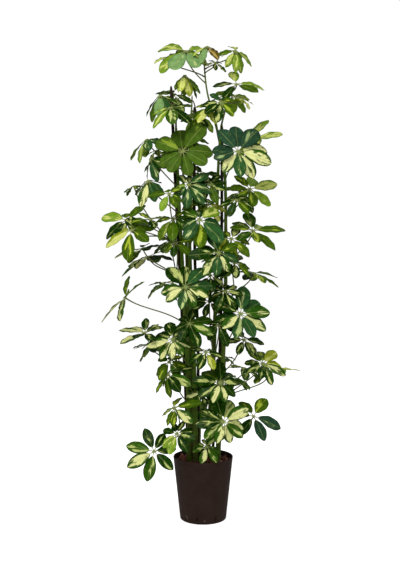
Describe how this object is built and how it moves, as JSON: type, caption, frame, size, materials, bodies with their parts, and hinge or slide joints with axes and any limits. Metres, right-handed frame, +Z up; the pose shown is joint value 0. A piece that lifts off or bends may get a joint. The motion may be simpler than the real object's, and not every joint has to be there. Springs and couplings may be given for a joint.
{
  "type": "potted variegated dwarf umbrella tree",
  "caption": "Tall houseplant with umbrella-like compound leaves splashed cream, on staked stems in a plain tapered nursery pot of clay pebbles.",
  "frame": {"origin": "centre of the pot's underside, at the level it stands on", "axes": "+Z up along the pot's axis, -Y towards the viewer of the picture, +X to the viewer's right"},
  "size_m": [0.6128, 0.4252, 1.4224],
  "materials": {
    "pot": "matte, moulded",
    "pebbles": "rough fired clay",
    "stake": "dark stained, matte",
    "bark": "green-brown bark, matte",
    "tie": "matte",
    "leaf": "waxy leaf with a soft sheen",
    "young_leaf": "waxy young leaf with a soft sheen"
  },
  "bodies": {
    "root": {"stake_left": "stake", "stake_middle": "stake", "stake_right": "stake", "stem_left": "bark", "stem_middle": "bark", "stem_tall": "bark", "stem_back_right": "bark", "stem_back_left": "bark", "tie_left": "tie", "tie_middle": "tie", "tie_right": "tie", "pot": "pot", "clay_pebbles": "pebbles", "leaf_01": "leaf", "leaf_02": "leaf", "leaf_03": "leaf", "leaf_04": "leaf", "leaf_05": "leaf", "leaf_06": "leaf", "leaf_07": "leaf", "leaf_08": "leaf", "leaf_09": "leaf", "leaf_10": "leaf", "leaf_11": "leaf", "leaf_12": "leaf", "leaf_13": "leaf", "leaf_14": "leaf", "leaf_15": "leaf", "leaf_16": "leaf", "leaf_17": "leaf", "leaf_18": "leaf", "leaf_19": "leaf", "leaf_20": "leaf", "leaf_21": "leaf", "leaf_22": "leaf", "leaf_23": "leaf", "leaf_24": "leaf", "leaf_25": "leaf", "leaf_26": "leaf", "leaf_27": "leaf", "leaf_28": "leaf", "leaf_29": "leaf", "leaf_30": "leaf", "leaf_31": "leaf", "leaf_32": "leaf", "crown_tall": "young_leaf", "crown_left": "young_leaf", "crown_middle": "young_leaf", "crown_right": "young_leaf", "crown_back": "young_leaf", "spray_upper_left": "leaf", "spray_upper_right": "leaf", "spray_mid_left": "leaf", "spray_left": "leaf", "spray_mid_right": "leaf", "spray_low_left": "leaf", "spray_low_right": "leaf", "spray_low_middle": "leaf", "spray_base_left": "leaf", "spray_base_middle": "leaf"}
  },
  "joints": []
}
